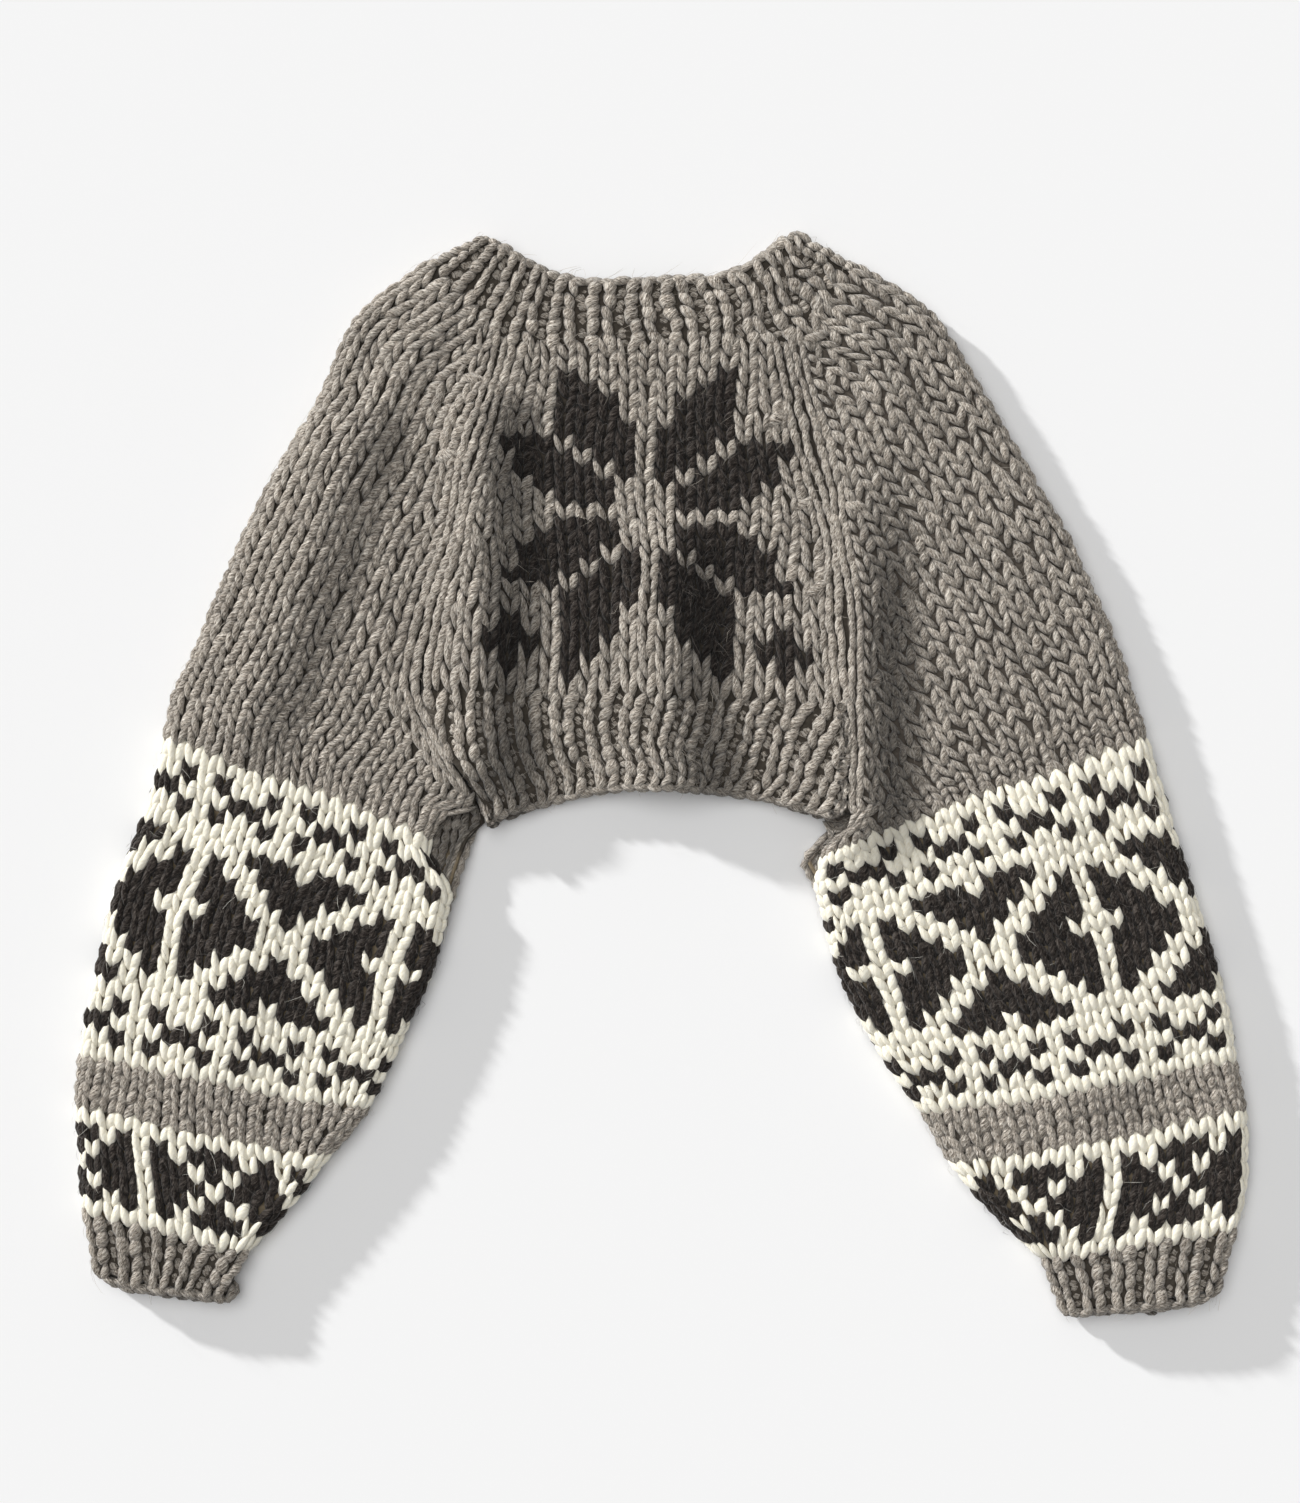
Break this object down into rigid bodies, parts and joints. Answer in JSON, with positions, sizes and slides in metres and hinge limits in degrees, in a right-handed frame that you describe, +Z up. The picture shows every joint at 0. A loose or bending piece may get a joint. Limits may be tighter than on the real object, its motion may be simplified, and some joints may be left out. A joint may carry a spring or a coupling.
{
  "type": "knit bolero pullover",
  "caption": "Cropped chunky-knit raglan pullover laid flat, with full balloon sleeves, ribbed neck, hem and cuffs, and patterned lower sleeves.",
  "frame": {"origin": "on the floor, below the middle of the garment's outline", "axes": "+X to the camera's right across both sleeves, +Y from hem to neck, +Z up from the floor"},
  "size_m": [0.8008, 0.739, 0.0328],
  "materials": {
    "grey_wool": "heathered grey-brown plied wool, matt and slightly hairy",
    "cream_wool": "undyed cream wool, matt",
    "dark_wool": "brown-black wool, matt and slightly hairy"
  },
  "bodies": {
    "root": {"back_panel": "grey_wool", "front_panel": "grey_wool", "sleeve_left": "grey_wool", "sleeve_right": "grey_wool", "neck_rib": "grey_wool", "hem_rib": "grey_wool", "cuff_left": "grey_wool", "cuff_right": "grey_wool"}
  },
  "joints": []
}
